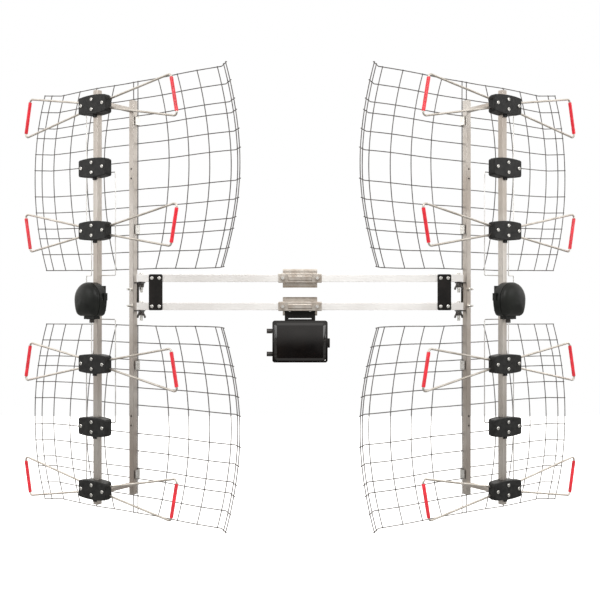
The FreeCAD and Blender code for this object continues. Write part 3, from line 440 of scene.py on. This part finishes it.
# ---------------------------------------------------------------- reflector screens
SCREEN_LOW = SCREEN_TOP - sum(ROW_GAPS)
SCREEN_MID, SCREEN_HALF = (SCREEN_TOP + SCREEN_LOW) / 2, (SCREEN_TOP - SCREEN_LOW) / 2
TURN = math.radians(FLANGE_ANGLE)


def bulge(z):
    """How far a bowed column stands out at a height: a large circle through three points."""
    radius = (SCREEN_HALF ** 2 + BOW ** 2) / (2 * BOW)
    lean = FLARE * (z - SCREEN_MID) / SCREEN_HALF
    return BOW - radius + math.sqrt(radius ** 2 - (z - SCREEN_MID) ** 2) + lean


def ripple(u, z):
    """The slight waviness of welded wire, the same for both wires of a crossing, in millimetres."""
    grow = min(1.0, abs(u) / RIPPLE_FROM)
    return Vector((RIPPLE_ALONG * math.sin(z / 47.0 + u / 83.0),
                   RIPPLE_AHEAD * math.sin(z / 71.0 - u / 59.0),
                   RIPPLE_ALONG * math.sin(u / 41.0 + z / 97.0))) * grow


def row_heights():
    """Heights of a screen's rows above the panel's middle."""
    heights = [SCREEN_TOP]
    for step in ROW_GAPS:
        heights.append(heights[-1] - step)
    return heights


def column_places():
    """Each column's unbowed u, its d, the side it is bowed to, if any, and the rows' tilt there."""
    places = [(side * CENTRE_PAIR, COLUMN_D, 0, 0) for side in (-1, 1)]
    for side in (-1, 1):
        for i in range(1, 5):
            places.append((side * (CENTRE_PAIR + COLUMN_PITCH * i), COLUMN_D, side, 0))
        for along in FLANGE_COLUMNS:
            places.append((side * (KINK + along * math.cos(TURN) - CROSSING * math.sin(TURN)),
                           ROW_D + along * math.sin(TURN) + CROSSING * math.cos(TURN),
                           side, side * TURN))
    return places


def row_line(z):
    """A row's path, bent forward at both flanges, before any waviness."""
    kink = KINK + bulge(z)
    length = FLANGE_COLUMNS[-1] + 2 * WIRE_R
    tip_u, tip_d = kink + length * math.cos(TURN), ROW_D + length * math.sin(TURN)
    corners = [Vector((-tip_u, tip_d, z)), Vector((-kink, ROW_D, z)),
               Vector((kink, ROW_D, z)), Vector((tip_u, tip_d, z))]
    return densify(bend(corners, KINK_R, 5), CORD_STEP)


def weld(shape, at, u, d, z, tilt):
    """A bead in the middle of the crossing of a column at u, d with the row at z, tilted there."""
    across, ahead = at(u + 1, d, z) - at(u, d, z), at(u, d + 1, z) - at(u, d, z)
    lift = CROSSING / 2
    centre = at(u + lift * math.sin(tilt), d - lift * math.cos(tilt), z)
    shape.blob(centre, (across * NUGGET_ACROSS, ahead * NUGGET_AHEAD, UP * MM * NUGGET_ACROSS))


def screen(side, half, sign):
    """One welded screen, mirrored in the panel's mid-height for the lower half."""
    place = panel_space(side)
    shape = Shape()

    def at(u, d, z):
        drift = ripple(u, z)
        return place(u + drift.x, d + drift.y, sign * (z + drift.z))
    for z in row_heights():
        shape.wire([at(*p) for p in row_line(z)], WIRE_R * MM)
    low, length = SCREEN_LOW - WIRE_R, SCREEN_TOP - SCREEN_LOW + 2 * WIRE_R
    stations = [low + length * i / COLUMN_STEPS for i in range(COLUMN_STEPS + 1)]
    for u, d, bowed, tilt in column_places():
        shape.wire([at(u + bowed * bulge(z), d, z) for z in stations], WIRE_R * MM)
        for z in row_heights():
            weld(shape, at, u + bowed * bulge(z), d, z, tilt)
    name = "%s_%s_screen" % (side, half)
    shape.piece(name + "_wires", side + "_panel", "coated_wire", name)


# ---------------------------------------------------------------- whiskers, sleeves, feed wires
BAYS = ((BLOCK_Z[0], 1), (BLOCK_Z[2], -1), (-BLOCK_Z[2], 1), (-BLOCK_Z[0], -1))


def tip_corners(z, hand, up):
    """The two corners at a bow-tie loop's outer end."""
    short = Vector((hand * SHORT_CORNER[0], WHISKER_D, z + up * SHORT_CORNER[1]))
    return short, Vector((hand * LONG_CORNER[0], WHISKER_D, z - up * LONG_CORNER[1]))


def whiskers(side):
    """Eight bow-tie loops of round wire, each with a red sleeve over its tip."""
    place = panel_space(side)
    wires, sleeves = Shape(), Shape()
    for z, up in BAYS:
        for hand in (-1, 1):
            short, long = tip_corners(z, hand, up)
            near, far = up * NOTCH_Z + z, -up * NOTCH_Z + z
            corners = [Vector((hand * WHISKER_IN, WHISKER_D, near)),
                       Vector((hand * BLOCK_HALF, WHISKER_D, near)), short, long,
                       Vector((hand * BLOCK_HALF, WHISKER_D, far)),
                       Vector((hand * WHISKER_IN, WHISKER_D, far))]
            line = bend(corners, WHISKER_BEND, 8)
            wires.wire([place(*p) for p in line], WHISKER_R * MM, 16)
            along = (long - short).normalized()
            start, end = short + along * SLEEVE_SHORT, long - along * SLEEVE_LONG
            sleeve_skin(sleeves, place, start, end)
    wires.piece(side + "_bow_tie_wires", side + "_panel", "aluminium_wire", side + "_whiskers")
    sleeves.piece(side + "_vinyl_sleeves", side + "_panel", "red_vinyl", side + "_tip_sleeves", 70)


def sleeve_skin(shape, place, start, end):
    """A soft tube whose cut ends are rolled over and whose wall swells a little."""
    run = (end - start).length
    stops = [0.0, 0.15, 0.5, 1.1] + [2 + (run - 4) * i / 14 for i in range(15)]
    stops += [run - s for s in (1.1, 0.5, 0.15, 0.0)]
    thin = SLEEVE_R - SWELL
    ends = [WHISKER_R + 0.35, WHISKER_R + 0.95, thin - 0.15, thin]
    swell = [thin + SWELL * math.sin(2.1 * i) * math.sin(0.7 * i) for i in range(15)]
    radii = [r * MM for r in ends + swell + ends[::-1]]
    line = [place(*(start.lerp(end, s / run))) for s in stops]
    shape.tube(line, radii, 20)


def feed_wires(side):
    """Jumper past the blank block, and a lead from each side to the balun, in both halves."""
    place, shape = panel_space(side), Shape()
    first, blank, third = BLOCK_Z

    def into(u, z):
        return [Vector((u, LINE_END, z)), Vector((u, LINE_D, z))]

    def at(u, z):
        return Vector((u, LINE_D, z))
    top, bottom = (-LINE_ROOT, first - NOTCH_Z), (-LINE_ROOT, third + NOTCH_Z)
    inner_end, outer_end = (LINE_ROOT, blank - NOTCH_Z), (-LINE_LEAD_X, third - NOTCH_Z)
    runs = [into(*top) + [at(-LINE_X, top[1]), at(-LINE_X, bottom[1])] + into(*bottom)[::-1],
            into(*inner_end) + [at(LINE_X, inner_end[1]), at(LINE_X, LINE_CROSS_Z),
                                at(0, LINE_CROSS_Z), at(0, SADDLE_TOP - LINE_SUNK)],
            into(*outer_end) + [at(-LINE_LEAD_X, LINE_CROSS_Z), at(-LINE_X, LINE_CROSS_Z),
                                at(-LINE_X, LINE_IN_Z), at(-SADDLE_HALF + LINE_SUNK, LINE_IN_Z)]]
    for sign in (1, -1):
        for run in runs:
            line = bend([Vector((p.x, p.y, sign * p.z)) for p in run], LINE_BEND)
            shape.wire([place(*p) for p in line], LINE_R * MM)
    made = shape.piece(side + "_feed_wires", side + "_panel", "aluminium_wire", side + "_phase_lines")
    made.data.materials[0] = feed_finish


# ---------------------------------------------------------------- balun dome
def arc(centre, radius, start, end, steps):
    """Points of an arc in the u-z plane, the last one left out."""
    turns = [math.radians(start + (end - start) * i / steps) for i in range(steps)]
    return [(centre[0] + radius * math.cos(t), centre[1] + radius * math.sin(t)) for t in turns]


def balun_outline():
    """The housing's outline: a round top, sides that taper gently, round corners, a flat base."""
    level = BALUN_TOP - BALUN_HALF
    drop = BALUN_BOTTOM + BALUN_CORNER_R - level
    side_centre = BALUN_HALF - BALUN_SIDE_R
    reach = math.sqrt((BALUN_SIDE_R - BALUN_CORNER_R) ** 2 - drop ** 2)
    lean = math.degrees(math.atan2(drop, reach))
    right = arc((side_centre, level), BALUN_SIDE_R, 0, lean, 16)
    right += arc((side_centre + reach, level + drop), BALUN_CORNER_R, lean, -90, 10)
    foot = side_centre + reach
    right += [(foot * (1 - i / 6), BALUN_BOTTOM) for i in range(6)] + [(0.0, BALUN_BOTTOM)]
    left = [(-u, z) for u, z in right[-2:0:-1]]
    top = arc((0, level), BALUN_HALF, 180, 0, 48)
    return top + right + left


def balun_dome(side):
    """The front shell: a rim with a shadow groove, then one continuous crown."""
    place, shape = panel_space(side), Shape()
    outline = balun_outline()
    centre_z = (BALUN_TOP + BALUN_BOTTOM) / 2
    base = GROOVE[-1][1]
    crown = BALUN_NOSE - BALUN_SEAM - base
    levels = list(GROOVE)
    for k in range(1, CROWN_STEPS):
        t = math.pi / 2 * k / CROWN_STEPS
        levels.append((CROWN_SCALE * math.cos(t) ** CROWN_POWER, base + crown * math.sin(t)))
    levels.append((0.02, base + crown))
    rings = [[place(u * scale, BALUN_SEAM + rise, centre_z + (z - centre_z) * scale) for u, z in outline]
             for scale, rise in levels]
    shape.rings(rings)
    shape.piece(side + "_balun_dome", side + "_panel", "balun_shell", side + "_balun_cover", 60)


# ---------------------------------------------------------------- floor, light and camera
def studio_floor():
    """A pale paper floor well below the part."""
    mesh = bpy.data.meshes.new("floor")
    level = cad_low.z - FLOOR_DROP
    corners = [(x * FLOOR_HALF, y * FLOOR_HALF, level) for x, y in ((-1, -1), (1, -1), (1, 1), (-1, 1))]
    mesh.from_pydata(corners, [], [(0, 1, 2, 3)])
    paper = Finish("studio_paper", roughness=0.9, Emission_Color=(1, 1, 1, 1), Emission_Strength=0.6)
    paper.colour(paper.noise(3.0), (0.88, 0.88, 0.88), (0.92, 0.92, 0.92))
    mesh.materials.append(paper.material)
    floor = bpy.data.objects.new("floor", mesh)
    bpy.context.scene.collection.objects.link(floor)
    floor.visible_glossy = False


def studio_world():
    """White to the eye. Surfaces see a pale room behind the part and a dimmer one behind the camera,
    each with a darker floor that meets the wall a little below eye level."""
    world = bpy.data.worlds.new("studio")
    bpy.context.scene.world = world
    world.use_nodes = True
    tree = world.node_tree
    tree.nodes.clear()
    made, links = tree.nodes.new, tree.links.new
    coordinate, split = made("ShaderNodeTexCoord"), made("ShaderNodeSeparateXYZ")
    links(coordinate.outputs["Generated"], split.inputs["Vector"])

    def ranged(axis, low, high):
        """How far a direction's component lies between two values, from 0 to 1."""
        spread = made("ShaderNodeMapRange")
        spread.inputs["From Min"].default_value, spread.inputs["From Max"].default_value = low, high
        links(split.outputs[axis], spread.inputs["Value"])
        return spread.outputs["Result"]

    def wall(stops):
        """Light by height, from straight down at 0 to straight up at 1."""
        ramp = made("ShaderNodeValToRGB")
        elements = ramp.color_ramp.elements
        elements[0].position, elements[1].position = stops[0][0], stops[-1][0]
        for position, _ in stops[1:-1]:
            elements.new(position)
        for element, (_, light) in zip(elements, stops):
            element.color = (light, light * 0.98, light * 0.95, 1)
        links(ranged("Z", -1.0, 1.0), ramp.inputs["Fac"])
        return ramp.outputs["Color"]

    room = made("ShaderNodeMix")
    room.data_type = "RGBA"
    links(ranged("Y", *ROOMS_MEET), room.inputs["Factor"])
    links(wall(ROOM_BEHIND_CAMERA), room.inputs["A"])
    links(wall(ROOM_BEHIND_PART), room.inputs["B"])
    seen, white = made("ShaderNodeBackground"), made("ShaderNodeBackground")
    links(room.outputs["Result"], seen.inputs["Color"])
    white.inputs["Color"].default_value = (1, 1, 1, 1)
    path, mix, out = made("ShaderNodeLightPath"), made("ShaderNodeMixShader"), made("ShaderNodeOutputWorld")
    links(path.outputs["Is Camera Ray"], mix.inputs["Fac"])
    links(seen.outputs["Background"], mix.inputs[1])
    links(white.outputs["Background"], mix.inputs[2])
    links(mix.outputs["Shader"], out.inputs["Surface"])


def softbox(name, place, width, height, power):
    """A soft rectangular light aimed at the origin, which lies near the part's middle."""
    lamp = bpy.data.lights.new(name, "AREA")
    lamp.shape = "RECTANGLE"
    lamp.size, lamp.size_y = width, height
    lamp.energy = power
    holder = bpy.data.objects.new(name, lamp)
    holder.location = place
    holder.rotation_euler = (-Vector(place)).to_track_quat("-Z", "Y").to_euler()
    bpy.context.scene.collection.objects.link(holder)


def front_camera():
    """Looks level at the part from the front, at its mid-height."""
    lens = bpy.data.cameras.new("camera")
    lens.lens, lens.sensor_width, lens.shift_y = LENS, SENSOR, SHIFT_Y
    camera = bpy.data.objects.new("camera", lens)
    camera.location = CAMERA_PLACE
    camera.rotation_euler = (math.radians(90), 0, 0)
    bpy.context.scene.collection.objects.link(camera)
    bpy.context.scene.camera = camera


# ---------------------------------------------------------------- the whole scene
dress_cad_nodes()
for side in ("left", "right"):
    screen(side, "upper", 1)
    screen(side, "lower", -1)
    whiskers(side)
    feed_wires(side)
    balun_dome(side)
studio_floor()
studio_world()
for settings in SOFTBOXES:
    softbox(*settings)
front_camera()
bpy.context.scene.view_settings.view_transform = "Standard"
